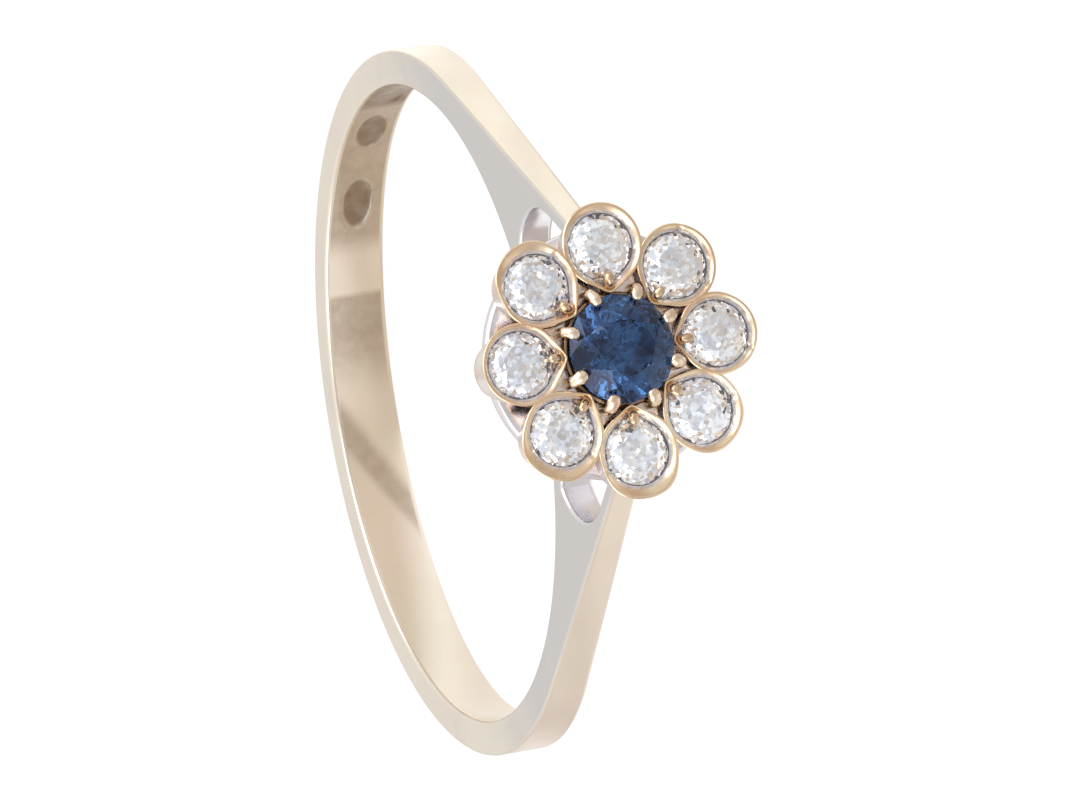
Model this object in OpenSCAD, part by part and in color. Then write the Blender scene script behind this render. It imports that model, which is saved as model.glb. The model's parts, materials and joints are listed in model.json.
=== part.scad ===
// Daisy cluster ring: a flat band with pierced shoulders that carries a round
// centre stone in a flower of eight rub-over petals. All lengths are in millimetres.
//
// The ring is drawn with the centre of its finger hole at zero, the flower on +X and
// the finger along Z. Then it is laid on its side, as it rests on a table: the back of
// the band and the lowest petal touch the table at z = 0, under the ring's middle.

/* [Finger hole and band] */
// Radius of the finger hole
hole_r = 8.5; // [7.6:0.1:10]
// Thickness of the band
band_t = 0.92; // [0.8:0.02:1.2]
// Width of the band at the back of the finger
band_w = 1.8; // [1.5:0.1:2.4]

/* [Shoulders] */
// Width of the shoulders where they meet the flower
shoulder_w = 0.66; // [0.5:0.02:1]
// Thickness of the outer arm beside the pierced opening
outer_arm_t = 0.38; // [0.3:0.02:0.5]
// Thickness of the inner arm that follows the finger
inner_arm_t = 0.55; // [0.45:0.05:0.7]
// Radius of the rounded end of the pierced opening
opening_r = 1.7; // [1.4:0.1:2]
// How far the pierced opening reaches past the gallery ring
opening_reach = 0.85; // [0.6:0.05:1]

/* [Centre stone] */
// Diameter of the centre stone
centre_d = 2.72; // [2.5:0.02:3]
// Height of the centre stone's girdle above that of the small stones
centre_lift = 0.32; // [0.3:0.02:0.5]
// Table of the centre stone, as a share of its diameter
centre_table = 0.54; // [0.5:0.01:0.6]

/* [Small stones] */
// Diameter of each small stone
small_d = 1.75; // [1.6:0.01:1.9]
// Table of each small stone, as a share of its diameter
small_table = 0.56; // [0.5:0.01:0.62]
// Metal between two neighbouring small stones at the girdle
between_t = 0.21; // [0.19:0.01:0.3]

/* [Petal settings] */
// Thickness of a petal's rim round its stone
rim_t = 0.13; // [0.12:0.01:0.2]
// Height of a petal's rim above its stone's girdle
rim_rise = 0.26; // [0.2:0.02:0.3]
// Height of a petal setting from its foot to its rim
petal_h = 1.35; // [1.2:0.05:1.5]
// How much narrower a petal setting is at its foot, in radius
petal_taper = 0.27; // [0.15:0.01:0.3]
// Depth of the straight pointed part of a petal
point_h = 0.8; // [0.6:0.05:0.9]

/* [Gallery] */
// Height of the flower's rims above the edge of the finger hole
head_h = 5.26; // [4.8:0.02:5.8]
// Thickness of the gallery ring under the petals
gallery_t = 0.42; // [0.35:0.01:0.6]
// Radius of the basket where it stands on the band
foot_r = 1.62; // [1.5:0.02:1.8]
// Wall of the basket
basket_t = 0.46; // [0.4:0.02:0.5]
// Height of the basket's foot above the edge of the finger hole
foot_rise = 0.2; // [0.15:0.05:0.3]
// Radius of the round top of each window in the basket
window_r = 0.55; // [0.4:0.01:0.6]
// Metal left above and below each window in the basket
window_margin = 0.2; // [0.15:0.05:0.3]

/* [Claws] */
// Radius of a claw of the centre stone
claw_r = 0.1; // [0.08:0.01:0.12]
// Radius of the bead at a claw's tip
claw_bead_r = 0.14; // [0.12:0.01:0.15]
// Radius of the grain that holds the inner edge of each small stone
grain_r = 0.11; // [0.09:0.01:0.12]
// Radius of the stem under that grain
grain_stem_r = 0.085; // [0.07:0.005:0.09]

/* [Fit] */
// Gap between each stone and the metal
gap = 0.025; // [0.015:0.005:0.03]

/* [Hidden] */
petals = 8;
step = 360 / petals;
crown_angle = 34;
pavilion_angle = 41;
girdle_share = 0.03;
band_r = hole_r + band_t;
centre_r = centre_d / 2;
small_r = small_d / 2;
pocket_r = small_r + gap;
petal_r = pocket_r + rim_t;
petal_ring_r = (small_r + between_t / 2) / sin(step / 2);
flower_r = petal_ring_r + petal_r;
point_clear = 0.02;
point_r = centre_r + point_clear;
rim_z = hole_r + head_h;
small_z = rim_z - rim_rise;
centre_z = small_z + centre_lift;
foot_z = rim_z - petal_h;
solder = 0.2;
gallery_top = foot_z + solder;
gallery_z = gallery_top - gallery_t;
gallery_r = flower_r - petal_taper - solder;
gallery_lip = 0.35;
basket_z = hole_r + foot_rise;
basket_top_r = gallery_r - gallery_lip;
well_r = foot_r - basket_t;
azure_r = 0.6 * small_r;
cup_r = 0.72 * centre_r;
cup_t = 0.22;
beyond = 1;
side_slope = (band_w - shoulder_w) / 2 / (gallery_top + band_r);
end_angle = atan2(gallery_r, gallery_top);
end_distance = norm([gallery_top, gallery_r]);
tangent_angle = end_angle + acos(band_r / end_distance);
shoulder_normal = [cos(tangent_angle), sin(tangent_angle)];
rest_tilt = atan2(flower_r - band_w / 2, rim_z + band_r);
centre_table_r = centre_r * centre_table;
centre_top = centre_z + girdle_share * centre_r + (centre_r - centre_table_r) * tan(crown_angle);
x_low = -band_r * cos(rest_tilt) - band_w / 2 * sin(rest_tilt);
x_high = max(centre_top * cos(rest_tilt) + centre_table_r * sin(rest_tilt),
             rim_z * cos(rest_tilt) + flower_r * sin(rest_tilt));
z_low = -band_r * sin(rest_tilt) - band_w / 2 * cos(rest_tilt);
small_names = [for (k = [1:petals]) str("diamond_", k)];
$fn = 96;

// Points of one level of a cut stone: count points at a distance from its axis
function level(count, distance, z, turn) =
    [for (i = [0:count - 1]) let(a = turn + i * 360 / count) [distance * cos(a), distance * sin(a), z]];

// Lays the ring on its side, with the table at z = 0 and the ring's middle over the origin
module at_rest() {
    translate([-(x_low + x_high) / 2, 0, -z_low]) rotate([0, -rest_tilt, 0]) children();
}

// Stands what is drawn upright with its foot towards the finger on the ring's flower side
module on_head() {
    rotate([0, 90, 0]) children();
}

// Repeats what is drawn at each petal, with the flower's centre towards -X
module at_petal(k) {
    rotate([0, 0, k * step]) translate([petal_ring_r, 0, 0]) children();
}

// Round brilliant cut: a table, eight kites, stars, upper and lower halves and eight mains
module brilliant(r, table) {
    girdle_h = girdle_share * r;
    table_r = r * table;
    crown_h = (r - table_r) * tan(crown_angle);
    star_r = 0.5 * (table_r + r);
    star_z = girdle_h + (r - star_r * cos(step / 2)) * tan(crown_angle);
    lower_r = 0.25 * r;
    lower_z = -girdle_h - (r - lower_r * cos(step / 2)) * tan(pavilion_angle);
    culet_z = -girdle_h - r * tan(pavilion_angle);
    points = concat(level(8, table_r, girdle_h + crown_h, 0), level(8, star_r, star_z, step / 2),
                    level(16, r, girdle_h, 0), level(16, r, -girdle_h, 0),
                    level(8, lower_r, lower_z, step / 2), [[0, 0, culet_z]]);
    star = 8;
    upper = 16;
    lower = 32;
    tip = 48;
    culet = 56;
    faces = concat(
        [[for (i = [7:-1:0]) i]],
        [for (i = [0:7]) [i, (i + 1) % 8, star + i]],
        [for (i = [0:7]) [i, star + i, upper + 2 * i, star + (i + 7) % 8]],
        [for (i = [0:7]) [star + i, upper + 2 * i + 1, upper + 2 * i]],
        [for (i = [0:7]) [star + i, upper + (2 * i + 2) % 16, upper + 2 * i + 1]],
        [for (j = [0:15]) [upper + j, upper + (j + 1) % 16, lower + (j + 1) % 16, lower + j]],
        [for (i = [0:7]) [tip + i, lower + 2 * i, lower + 2 * i + 1]],
        [for (i = [0:7]) [tip + i, lower + 2 * i + 1, lower + (2 * i + 2) % 16]],
        [for (i = [0:7]) [culet, tip + (i + 7) % 8, lower + 2 * i, tip + i]]);
    polyhedron(points = points, faces = faces);
}

// Pointed end of a petal: straight sides from its circle to a point at the flower's centre
module petal_point(r, reach) {
    a = acos(r / reach);
    side = 0.99 * r;
    polygon([[-reach, 0], [-side * cos(a), side * sin(a)], [0, 0], [-side * cos(a), -side * sin(a)]]);
}

// Solid of one petal before its stone's seat is cut: a tapered cup with a pointed collar
module petal_body() {
    translate([0, 0, foot_z]) cylinder(h = petal_h, r1 = petal_r - petal_taper, r2 = petal_r);
    translate([0, 0, rim_z - point_h]) linear_extrude(point_h) petal_point(petal_r, petal_ring_r - point_r);
}

// Seat of a small stone: a pocket with a pointed end, a narrow ledge, a bearing cone and a hole through
module petal_seat() {
    bearing_z = small_z - girdle_share * small_r - gap;
    ledge = 0.02;
    cone_r = pocket_r - ledge + ledge / 2 / tan(pavilion_angle);
    cone_h = (cone_r - azure_r / 2) * tan(pavilion_angle);
    cone_top = bearing_z + ledge / 2;
    hole_top = cone_top - (cone_r - azure_r) / 2 * tan(pavilion_angle);
    point_wall = 1.15 * rim_t;
    point_depth = rim_rise + 0.16;
    translate([0, 0, bearing_z]) cylinder(h = rim_z - bearing_z + beyond, r = pocket_r);
    translate([0, 0, cone_top - cone_h]) cylinder(h = cone_h, r1 = azure_r / 2, r2 = cone_r);
    translate([0, 0, gallery_z - beyond]) cylinder(h = hole_top - gallery_z + beyond, r = azure_r);
    translate([0, 0, rim_z - point_depth]) linear_extrude(point_depth + beyond)
        petal_point(0.97 * pocket_r, petal_ring_r - point_r - point_wall);
}

// Grain on the inner edge of a small stone, with its stem on the floor of the pointed end
module grain() {
    girdle_top = small_z + girdle_share * small_r;
    bead_x = small_r - 0.3 * grain_r;
    bead_z = girdle_top + (grain_r + gap) / cos(crown_angle);
    stem_x = pocket_r + 1.05 * grain_stem_r;
    stem_z = small_z - 2 * rim_t;
    translate([-bead_x, 0, bead_z]) sphere(r = grain_r);
    translate([-stem_x, 0, stem_z]) cylinder(h = bead_z - stem_z, r = grain_stem_r);
}

// Claw of the centre stone: a wire up from the gallery with a bead over the stone's edge
module claw() {
    girdle_top = centre_z + girdle_share * centre_r;
    wire_x = centre_r + gap + claw_r;
    bead_x = centre_r - 0.15 * claw_bead_r;
    bead_z = girdle_top + (claw_bead_r + gap) / cos(crown_angle);
    wire_z = gallery_z + gallery_t / 4;
    translate([wire_x, 0, wire_z]) cylinder(h = bead_z - wire_z, r = claw_r);
    translate([bead_x, 0, bead_z]) sphere(r = claw_bead_r);
}

// Arched window in the basket, drawn outwards along +X from inside the basket's wall
module basket_window() {
    top_z = gallery_z - window_r - window_margin;
    bottom_z = basket_z + band_t / 2 + window_margin;
    top_w = 0.95 * window_r;
    foot_w = 0.5 * window_r;
    start_x = well_r + 0.4 * basket_t;
    translate([start_x, 0, 0]) rotate([90, 0, 90]) linear_extrude(flower_r) {
        translate([0, top_z]) circle(r = window_r);
        polygon([[-top_w, top_z], [top_w, top_z], [foot_w, bottom_z], [-foot_w, bottom_z]]);
    }
}

// Tapered basket with its gallery ring: hollow, and pierced under every petal
module basket() {
    difference() {
        union() {
            translate([0, 0, gallery_z]) cylinder(h = gallery_t, r = gallery_r);
            translate([0, 0, basket_z])
                cylinder(h = gallery_z - basket_z + gallery_t / 4, r1 = foot_r, r2 = basket_top_r);
        }
        translate([0, 0, basket_z - gallery_t / 4])
            cylinder(h = gallery_z - basket_z, r1 = well_r, r2 = basket_top_r - basket_t);
        for (k = [0:petals - 1]) rotate([0, 0, k * step]) basket_window();
    }
}

// Cup round the centre stone's pavilion, before the hole through it is cut
module centre_cup() {
    cup_top = centre_z - (centre_r - cup_r) * tan(pavilion_angle) - 2 * gap;
    cup_z = gallery_z + gallery_t / 4;
    translate([0, 0, cup_z]) cylinder(h = cup_top - cup_z, r = cup_r + cup_t);
}

// Flower head: eight petals, the claws, the centre cup and the basket, soldered together
module flower_head() {
    on_head() {
        difference() {
            union() {
                basket();
                centre_cup();
                for (k = [0:petals - 1]) at_petal(k) petal_body();
            }
            for (k = [0:petals - 1]) at_petal(k) petal_seat();
            translate([0, 0, gallery_z - beyond]) cylinder(h = head_h, r = cup_r);
        }
        for (k = [0:petals - 1]) {
            at_petal(k) grain();
            rotate([0, 0, (k + 0.5) * step]) claw();
        }
    }
}

// Half of the pierced opening of the shoulders in the side view, on the +Y side: its round
// end, and the way on to the basket and through the gallery beside an outer arm of even thickness
module opening_half() {
    side = 0.9995 * opening_r;
    end_y = gallery_r + opening_reach - opening_r;
    end_x = (band_r - outer_arm_t - opening_r - end_y * shoulder_normal.y) / shoulder_normal.x;
    arm_y = (band_r - outer_arm_t - gallery_z * shoulder_normal.x) / shoulder_normal.y;
    translate([end_x, end_y]) circle(r = opening_r);
    reach = gallery_top + beyond;
    polygon([[end_x, end_y] + side * shoulder_normal, [gallery_z, arm_y], [reach, arm_y], [reach, -gap],
             [hole_r - beyond, -gap], [hole_r - beyond, end_y]]);
}

// Side view of the band, with shoulders that run straight from its circle to the gallery
module side_view() {
    inset = 0.9995;
    tangent_point = band_r * inset * shoulder_normal;
    difference() {
        union() {
            circle(r = band_r);
            polygon([[gallery_top, gallery_r], tangent_point, [0, 0], [tangent_point.x, -tangent_point.y],
                     [gallery_top, -gallery_r]]);
        }
        circle(r = hole_r);
        difference() {
            for (side = [0, 1]) mirror([0, side]) opening_half();
            circle(r = hole_r + inner_arm_t);
        }
    }
}

// Band and shoulders: the side view given a width that narrows evenly towards the flower
module band() {
    reach = gallery_top + beyond;
    back = -band_r - beyond;
    back_h = band_w / 2 + side_slope * beyond;
    front_h = band_w / 2 - (reach + band_r) * side_slope;
    difference() {
        intersection() {
            linear_extrude(2 * band_w, center = true) side_view();
            rotate([90, 0, 0]) linear_extrude(4 * band_r, center = true)
                polygon([[back, -back_h], [reach, -front_h], [reach, front_h], [back, back_h]]);
        }
        on_head() cylinder(h = gallery_z, r = well_r);
    }
}

module ring_mount() {
    color("tan") at_rest() {
        band();
        flower_head();
    }
}

module centre_sapphire() {
    color("midnightblue") at_rest() on_head() translate([0, 0, centre_z]) brilliant(centre_r, centre_table);
}

// One small stone, turned a little from its neighbours as stones set by hand are
module small_stone(k) {
    color("white") at_rest() on_head() at_petal(k) translate([0, 0, small_z]) rotate([0, 0, 17 * k])
        brilliant(small_r, small_table);
}

ring_mount();
centre_sapphire();
for (k = [1:petals]) {
    small_stone(k);
}
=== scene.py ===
import json
import math
import bmesh
import bpy
import numpy as np
from mathutils import Matrix, Vector


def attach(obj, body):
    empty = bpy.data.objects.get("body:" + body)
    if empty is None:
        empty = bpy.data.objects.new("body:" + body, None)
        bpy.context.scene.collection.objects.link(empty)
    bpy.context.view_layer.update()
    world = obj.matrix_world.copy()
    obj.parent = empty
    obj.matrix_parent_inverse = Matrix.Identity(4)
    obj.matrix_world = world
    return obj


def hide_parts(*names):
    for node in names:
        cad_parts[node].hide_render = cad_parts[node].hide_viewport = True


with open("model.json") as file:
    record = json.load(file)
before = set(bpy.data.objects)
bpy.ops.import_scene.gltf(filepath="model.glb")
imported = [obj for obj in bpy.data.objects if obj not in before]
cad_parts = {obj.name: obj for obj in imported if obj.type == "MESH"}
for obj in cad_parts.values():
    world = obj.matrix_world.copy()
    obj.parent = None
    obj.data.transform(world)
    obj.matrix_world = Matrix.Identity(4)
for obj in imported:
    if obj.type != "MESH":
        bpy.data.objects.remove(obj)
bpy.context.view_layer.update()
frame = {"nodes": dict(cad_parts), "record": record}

# Daisy cluster ring: a slim band with pierced shoulders, and a blue stone among eight petals.
# Lengths are in mm, and these are the solid model's own. Shapes are worked out in the ring's own
# frame, where zero is the middle of the finger hole, the flower is on +X and the finger runs along
# Z, and are then laid on the table. The flower's pieces are drawn upright first, with their height
# along the flower's axis.
ring = {
    "holeR": 8.5, "bandT": 0.92, "bandW": 1.8,  # finger hole, the band's thickness and its width
    "shoulderW": 0.66,  # width of the shoulders at the flower
    "outerArm": 0.38, "innerArm": 0.55,  # thickness of the arms beside the pierced opening
    "openingR": 1.7, "openingReach": 0.85,  # the opening's round end and its reach past the gallery
    "centreD": 2.72, "centreLift": 0.32, "smallD": 1.75,  # stones; the centre one sits higher
    "gap": 0.025,  # between a stone and the metal
    "betweenT": 0.21, "rimT": 0.13, "rimRise": 0.26,  # metal between, round and above small stones
    "petalH": 1.35, "petalTaper": 0.27, "pointH": 0.8,  # petal's height, taper and pointed part
    "pointClear": 0.02,  # from a petal's point to the centre stone
    "headH": 5.26,  # the flower's rims above the edge of the finger hole
    "galleryT": 0.42, "galleryLip": 0.35,  # gallery's thickness, and how far it passes the basket
    "solder": 0.2,  # how far the petals' feet and the gallery go into each other
    "footR": 1.62, "basketT": 0.46, "footRise": 0.2,  # basket's foot, its wall, its foot's height
    "windowR": 0.55, "windowMargin": 0.2,  # a window's round top, and the metal above and below it
    "azure": 0.6, "cup": 0.72,  # holes under the stones, as shares of the stones' own radius
}
petals = 8
step = 2 * math.pi / petals
pavilion = math.radians(41)  # slope of a stone below its girdle
crown = math.radians(34)  # and above it
girdleShare = 0.03  # half a girdle's height, as a share of the stone's radius
bandR = ring["holeR"] + ring["bandT"]
centreR = ring["centreD"] / 2
smallR = ring["smallD"] / 2
pocketR = smallR + ring["gap"]
petalR = pocketR + ring["rimT"]
petalRing = (smallR + ring["betweenT"] / 2) / math.sin(step / 2)
flowerR = petalRing + petalR
pointR = centreR + ring["pointClear"]
rimZ = ring["holeR"] + ring["headH"]
smallZ = rimZ - ring["rimRise"]
centreZ = smallZ + ring["centreLift"]
footZ = rimZ - ring["petalH"]
galleryTop = footZ + ring["solder"]
galleryZ = galleryTop - ring["galleryT"]
galleryR = flowerR - ring["petalTaper"] - ring["solder"]
basketZ = ring["holeR"] + ring["footRise"]
basketTopR = galleryR - ring["galleryLip"]
wellR = ring["footR"] - ring["basketT"]
azureR = ring["azure"] * smallR
cupR = ring["cup"] * centreR
tilt = math.atan2(flowerR - ring["bandW"] / 2, rimZ + bandR)
holeAt = np.array(frame["record"]["mounts"][0]["pos_m"])  # middle of the finger hole on the table
hand = np.random.default_rng(8)  # the small unevenness of hand work, the same each run
perMetre = 1000.0  # mm in a metre; a pattern of s mm has the scale perMetre / s
mergeWithin, tinyEdge = 1e-6, 1e-7  # in metres


def toRow(points):
    # Ring frame in mm to the table in metres: turned about Y by the rest tilt, then moved.
    x, y, z = np.moveaxis(np.asarray(points, float), -1, 0) / perMetre
    turned = [x * math.cos(tilt) - z * math.sin(tilt), y, x * math.sin(tilt) + z * math.cos(tilt)]
    return np.stack(turned, axis=-1) + holeAt


def onHead(points, turn=0.0):
    # Upright flower frame to the ring frame: turned about the flower's axis, then laid on +X.
    x, y, z = np.moveaxis(np.asarray(points, float), -1, 0)
    turnedX = x * np.cos(turn) - y * np.sin(turn)
    turnedY = x * np.sin(turn) + y * np.cos(turn)
    return np.stack([z, turnedY, -turnedX], axis=-1)


def ease(t):
    # Smooth step from 0 to 1: t t (3 - 2 t).
    t = np.clip(t, 0, 1)
    return t * t * (3 - 2 * t)


def polar(radius, angle, z):
    # Points at a distance and direction from the Z axis: r cos a, r sin a, z.
    radius, angle, z = np.broadcast_arrays(radius, angle, z)
    return np.stack([radius * np.cos(angle), radius * np.sin(angle), z], axis=-1)


def quads(rows, cols, closeRows):
    # Four-sided faces between neighbouring points of a grid. Each row runs round, and the last row
    # joins the first where closeRows is set.
    r, c = np.meshgrid(np.arange(rows - (not closeRows)), np.arange(cols), indexing="ij")
    nextR = (r + 1) % rows
    nextC = (c + 1) % cols
    corners = [r * cols + c, r * cols + nextC, nextR * cols + nextC, nextR * cols + c]
    return np.stack(corners, axis=-1).reshape(-1, 4)


def sheet(points, worn, freshAndPaintedLight=0.0, dullAndPaintedDark=0.0, closeRows=False, caps=False):
    # A grid of points as a part of a piece, its two end rows filled where caps is set. Its finish is
    # three shares, each from 0 to 1, at every point or the same all over: wear of the wash; fresh wash,
    # which on the webs is partly painted light; and darkening, which is dull old polish in places and
    # painted shade or painted dark reflections in others.
    rows, cols = points.shape[:2]
    faces = quads(rows, cols, closeRows).tolist()
    if caps:
        faces += [list(range(cols)), list(range((rows - 1) * cols, rows * cols))]
    finish = [np.broadcast_to(share, (rows, cols)).ravel() for share in (worn, freshAndPaintedLight, dullAndPaintedDark)]
    return points.reshape(-1, 3), faces, np.stack(finish, axis=-1)


def fullTurn(count):
    # Even directions once round: 2 pi i / count.
    return np.linspace(0, 2 * math.pi, count, endpoint=False)[None]


def turnProfile(profile, count=96):
    # A profile of distances and heights, carried once round the flower's axis.
    profile = np.array(profile)
    return onHead(polar(profile[:, :1], fullTurn(count), profile[:, 1:]))


def makePiece(name, parts, material, sharp=38):
    # Joins the parts into one closed mesh, merges its seams and turns its faces outwards. Edges
    # that turn by more than sharp degrees stay sharp.
    start = 0
    faces = []
    for points, partFaces, _ in parts:
        faces += [[i + start for i in face] for face in partFaces]
        start += len(points)
    mesh = bpy.data.meshes.new(name)
    mesh.from_pydata(toRow(np.concatenate([points for points, _, _ in parts])), [], faces)
    finish = mesh.attributes.new("finish", "FLOAT_VECTOR", "POINT")
    shares = np.concatenate([share for _, _, share in parts]).astype(np.float32)
    finish.data.foreach_set("vector", shares.ravel())
    work = bmesh.new()
    work.from_mesh(mesh)
    bmesh.ops.remove_doubles(work, verts=work.verts, dist=mergeWithin)
    bmesh.ops.dissolve_degenerate(work, edges=work.edges, dist=tinyEdge)
    bmesh.ops.recalc_face_normals(work, faces=work.faces)
    work.to_mesh(mesh)
    work.free()
    mesh.shade_smooth()
    mesh.set_sharp_from_angle(angle=math.radians(sharp))
    mesh.materials.append(material)
    piece = bpy.data.objects.new(name, mesh)
    bpy.context.scene.collection.objects.link(piece)
    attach(piece, "root")
    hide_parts("ring_mount")


def toLinear(hexColour):
    # sRGB hex to linear colour with alpha 1.
    parts = [int(hexColour[i:i + 2], 16) / 255 for i in (1, 3, 5)]
    linear = [c / 12.92 if c <= 0.04045 else ((c + 0.055) / 1.055) ** 2.4 for c in parts]
    return (*linear, 1.0)


def addNode(tree, kind, inputs=None, **settings):
    # One node with its settings. An input takes a number, a colour or another node's socket. In a
    # Mix of colours, 0 is the share, 6 and 7 are the two colours, and output 2 is the mixed one.
    node = tree.nodes.new("ShaderNode" + kind)
    for key, value in settings.items():
        setattr(node, key, value)
    for key, value in (inputs or {}).items():
        if isinstance(value, bpy.types.NodeSocket):
            tree.links.new(value, node.inputs[key])
        else:
            node.inputs[key].default_value = value
    return node


def newMaterial(name):
    # A named material with an empty node tree.
    material = bpy.data.materials.new(name)
    material.use_nodes = True
    material.node_tree.nodes.clear()
    return material, material.node_tree


# What the three golds have in common, sizes in mm. Drag lines and dull specks are drawn coarser
# than the real ones, which are too fine to show.
goldGrain = {
    "mottle": 0.35, "speck": 0.09,
    "line": 0.5, "lineThin": 9.0,  # a drag line's length, and that over its width
    # Pattern values that become none and all, or two shares.
    "wornMap": {"From Min": 0.2, "From Max": 0.8},
    "tintMap": {"From Min": 0.35, "From Max": 0.65},
    "mottleMap": {"From Min": 0.3, "From Max": 0.7, "To Min": 0.85, "To Max": 1.12},
    "speckMap": {"From Min": 0.3, "From Max": 0.75},
}


def goldMaterial(name, look):
    # Gold alloy under a worn rhodium wash. The attribute "finish" holds how far the wash is worn
    # off, how fresh it still is, with painted light on the webs, and how far the metal is darkened,
    # by dull old polish in places and by painted shade and painted dark reflections in others. Soft
    # patches break up the wear. Polishing leaves shallow waves, fine drag lines and dull specks.
    material, tree = newMaterial(name)
    at = addNode(tree, "TexCoord").outputs["Object"]
    finish = addNode(tree, "Attribute", attribute_name="finish")
    finish = addNode(tree, "SeparateXYZ", {0: finish.outputs["Vector"]})
    # Wear, more and less in patches.
    patch = addNode(tree, "TexNoise", {"Vector": at, "Scale": perMetre / look["patch"], "Detail": 3.0})
    spread = addNode(tree, "Math", {0: patch.outputs["Fac"], 1: 0.5}, operation="SUBTRACT")
    worn = addNode(tree, "Math", {0: spread.outputs[0], 1: look["uneven"], 2: finish.outputs["X"]},
        operation="MULTIPLY_ADD")
    worn = addNode(tree, "MapRange", {"Value": worn.outputs[0], **goldGrain["wornMap"]})
    # Bare gold in two tints under the wash.
    tint = addNode(tree, "TexNoise", {"Vector": at, "Scale": perMetre / look["tintSize"],
        "Detail": 2.0})
    tintBy = addNode(tree, "MapRange", {"Value": tint.outputs["Fac"], **goldGrain["tintMap"]})
    bare = addNode(tree, "Mix", {0: tintBy.outputs[0], 6: toLinear(look["warm"]),
        7: toLinear(look["rose"])}, data_type="RGBA")
    colour = addNode(tree, "Mix", {0: worn.outputs[0], 6: toLinear(look["wash"]),
        7: bare.outputs[2]}, data_type="RGBA")
    colour = addNode(tree, "Mix", {0: finish.outputs["Y"], 6: colour.outputs[2],
        7: toLinear(look["freshAndPaintedLight"])}, data_type="RGBA")
    # Darkening, mottled: dull old polish, and in places painted shade and painted dark reflections.
    mottle = addNode(tree, "TexNoise", {"Vector": at, "Scale": perMetre / goldGrain["mottle"],
        "Detail": 4.0})
    mottle = addNode(tree, "MapRange", {"Value": mottle.outputs["Fac"], **goldGrain["mottleMap"]})
    dullAndPaintedDark = addNode(tree, "Math", {0: finish.outputs["Z"], 1: mottle.outputs[0]}, operation="MULTIPLY")
    colour = addNode(tree, "Mix", {0: dullAndPaintedDark.outputs[0], 6: colour.outputs[2],
        7: toLinear(look["dullAndPaintedDark"])}, data_type="RGBA")
    # Roughness and relief.
    speck = addNode(tree, "TexNoise", {"Vector": at, "Scale": perMetre / goldGrain["speck"],
        "Detail": 4.0})
    rough = addNode(tree, "MapRange", {"Value": speck.outputs["Fac"], **goldGrain["speckMap"],
        "To Min": look["rough"][0], "To Max": look["rough"][1]})
    drag = addNode(tree, "Mapping", {"Vector": at, "Scale": (1.0, 1.0, goldGrain["lineThin"])})
    lines = addNode(tree, "TexNoise", {"Vector": drag.outputs[0],
        "Scale": perMetre / goldGrain["line"], "Detail": 5.0})
    fine = addNode(tree, "Bump", {"Height": lines.outputs["Fac"],
        "Distance": look["drag"] / perMetre, "Strength": 1.0})
    waves = addNode(tree, "TexNoise", {"Vector": at, "Scale": perMetre / look["waveSize"],
        "Detail": 1.0})
    bump = addNode(tree, "Bump", {"Height": waves.outputs["Fac"],
        "Distance": look["wave"] / perMetre, "Strength": 1.0, "Normal": fine.outputs[0]})
    shader = addNode(tree, "BsdfPrincipled", {"Base Color": colour.outputs[2], "Metallic": 1.0,
        "Roughness": rough.outputs[0], "Normal": bump.outputs[0]})
    addNode(tree, "OutputMaterial", {"Surface": shader.outputs[0]})
    return material


# What both stones have in common. Polishing marks are drawn coarser than the real ones.
stoneGrain = {
    "polish": 0.3, "polishMap": {"From Min": 0.3, "From Max": 0.7},
    "zoneMap": {"From Min": 0.40, "From Max": 0.62},
}


def stoneMaterial(name, look):
    # A cut stone: clear, with its own index, faint zones of colour, and facets that each lean a
    # little in cells of a set size, which breaks its reflections up into fine sparkle. The mirror
    # share stands for light that a stone's back facets turn round and send out again, and the glow
    # is painted light for more of it.
    material, tree = newMaterial(name)
    at = addNode(tree, "TexCoord").outputs["Object"]
    zone = addNode(tree, "TexNoise", {"Vector": at, "Scale": perMetre / look["zone"], "Detail": 3.0})
    zoneBy = addNode(tree, "MapRange", {"Value": zone.outputs["Fac"], **stoneGrain["zoneMap"]})
    colour = addNode(tree, "Mix", {0: zoneBy.outputs[0], 6: toLinear(look["deep"]),
        7: toLinear(look["pale"])}, data_type="RGBA")
    polish = addNode(tree, "TexNoise", {"Vector": at, "Scale": perMetre / stoneGrain["polish"],
        "Detail": 2.0})
    rough = addNode(tree, "MapRange", {"Value": polish.outputs["Fac"], **stoneGrain["polishMap"],
        "To Min": look["rough"][0], "To Max": look["rough"][1]})
    # The facet's own direction plus a lean of its cell, each part of it between -half and half.
    cell = addNode(tree, "TexVoronoi", {"Vector": at, "Scale": perMetre / look["cell"]})
    lean = addNode(tree, "VectorMath", {0: cell.outputs["Color"], 1: (0.5, 0.5, 0.5)},
        operation="SUBTRACT")
    lean = addNode(tree, "VectorMath", {0: lean.outputs[0], "Scale": look["lean"]}, operation="SCALE")
    flat = addNode(tree, "NewGeometry").outputs["Normal"]
    leaning = addNode(tree, "VectorMath", {0: flat, 1: lean.outputs[0]}, operation="ADD")
    leaning = addNode(tree, "VectorMath", {0: leaning.outputs[0]}, operation="NORMALIZE")
    # The glow share is painted light: an emission in the stone's own colour.
    shader = addNode(tree, "BsdfPrincipled", {
        "Base Color": colour.outputs[2], "Roughness": rough.outputs[0], "IOR": look["ior"],
        "Transmission Weight": look["clear"], "Specular IOR Level": look["gloss"],
        "Specular Tint": toLinear(look["shine"]), "Metallic": look["mirror"],
        "Emission Color": colour.outputs[2], "Emission Strength": look["glow"],
        "Normal": leaning.outputs[0]})
    addNode(tree, "OutputMaterial", {"Surface": shader.outputs[0]})
    return material


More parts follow.
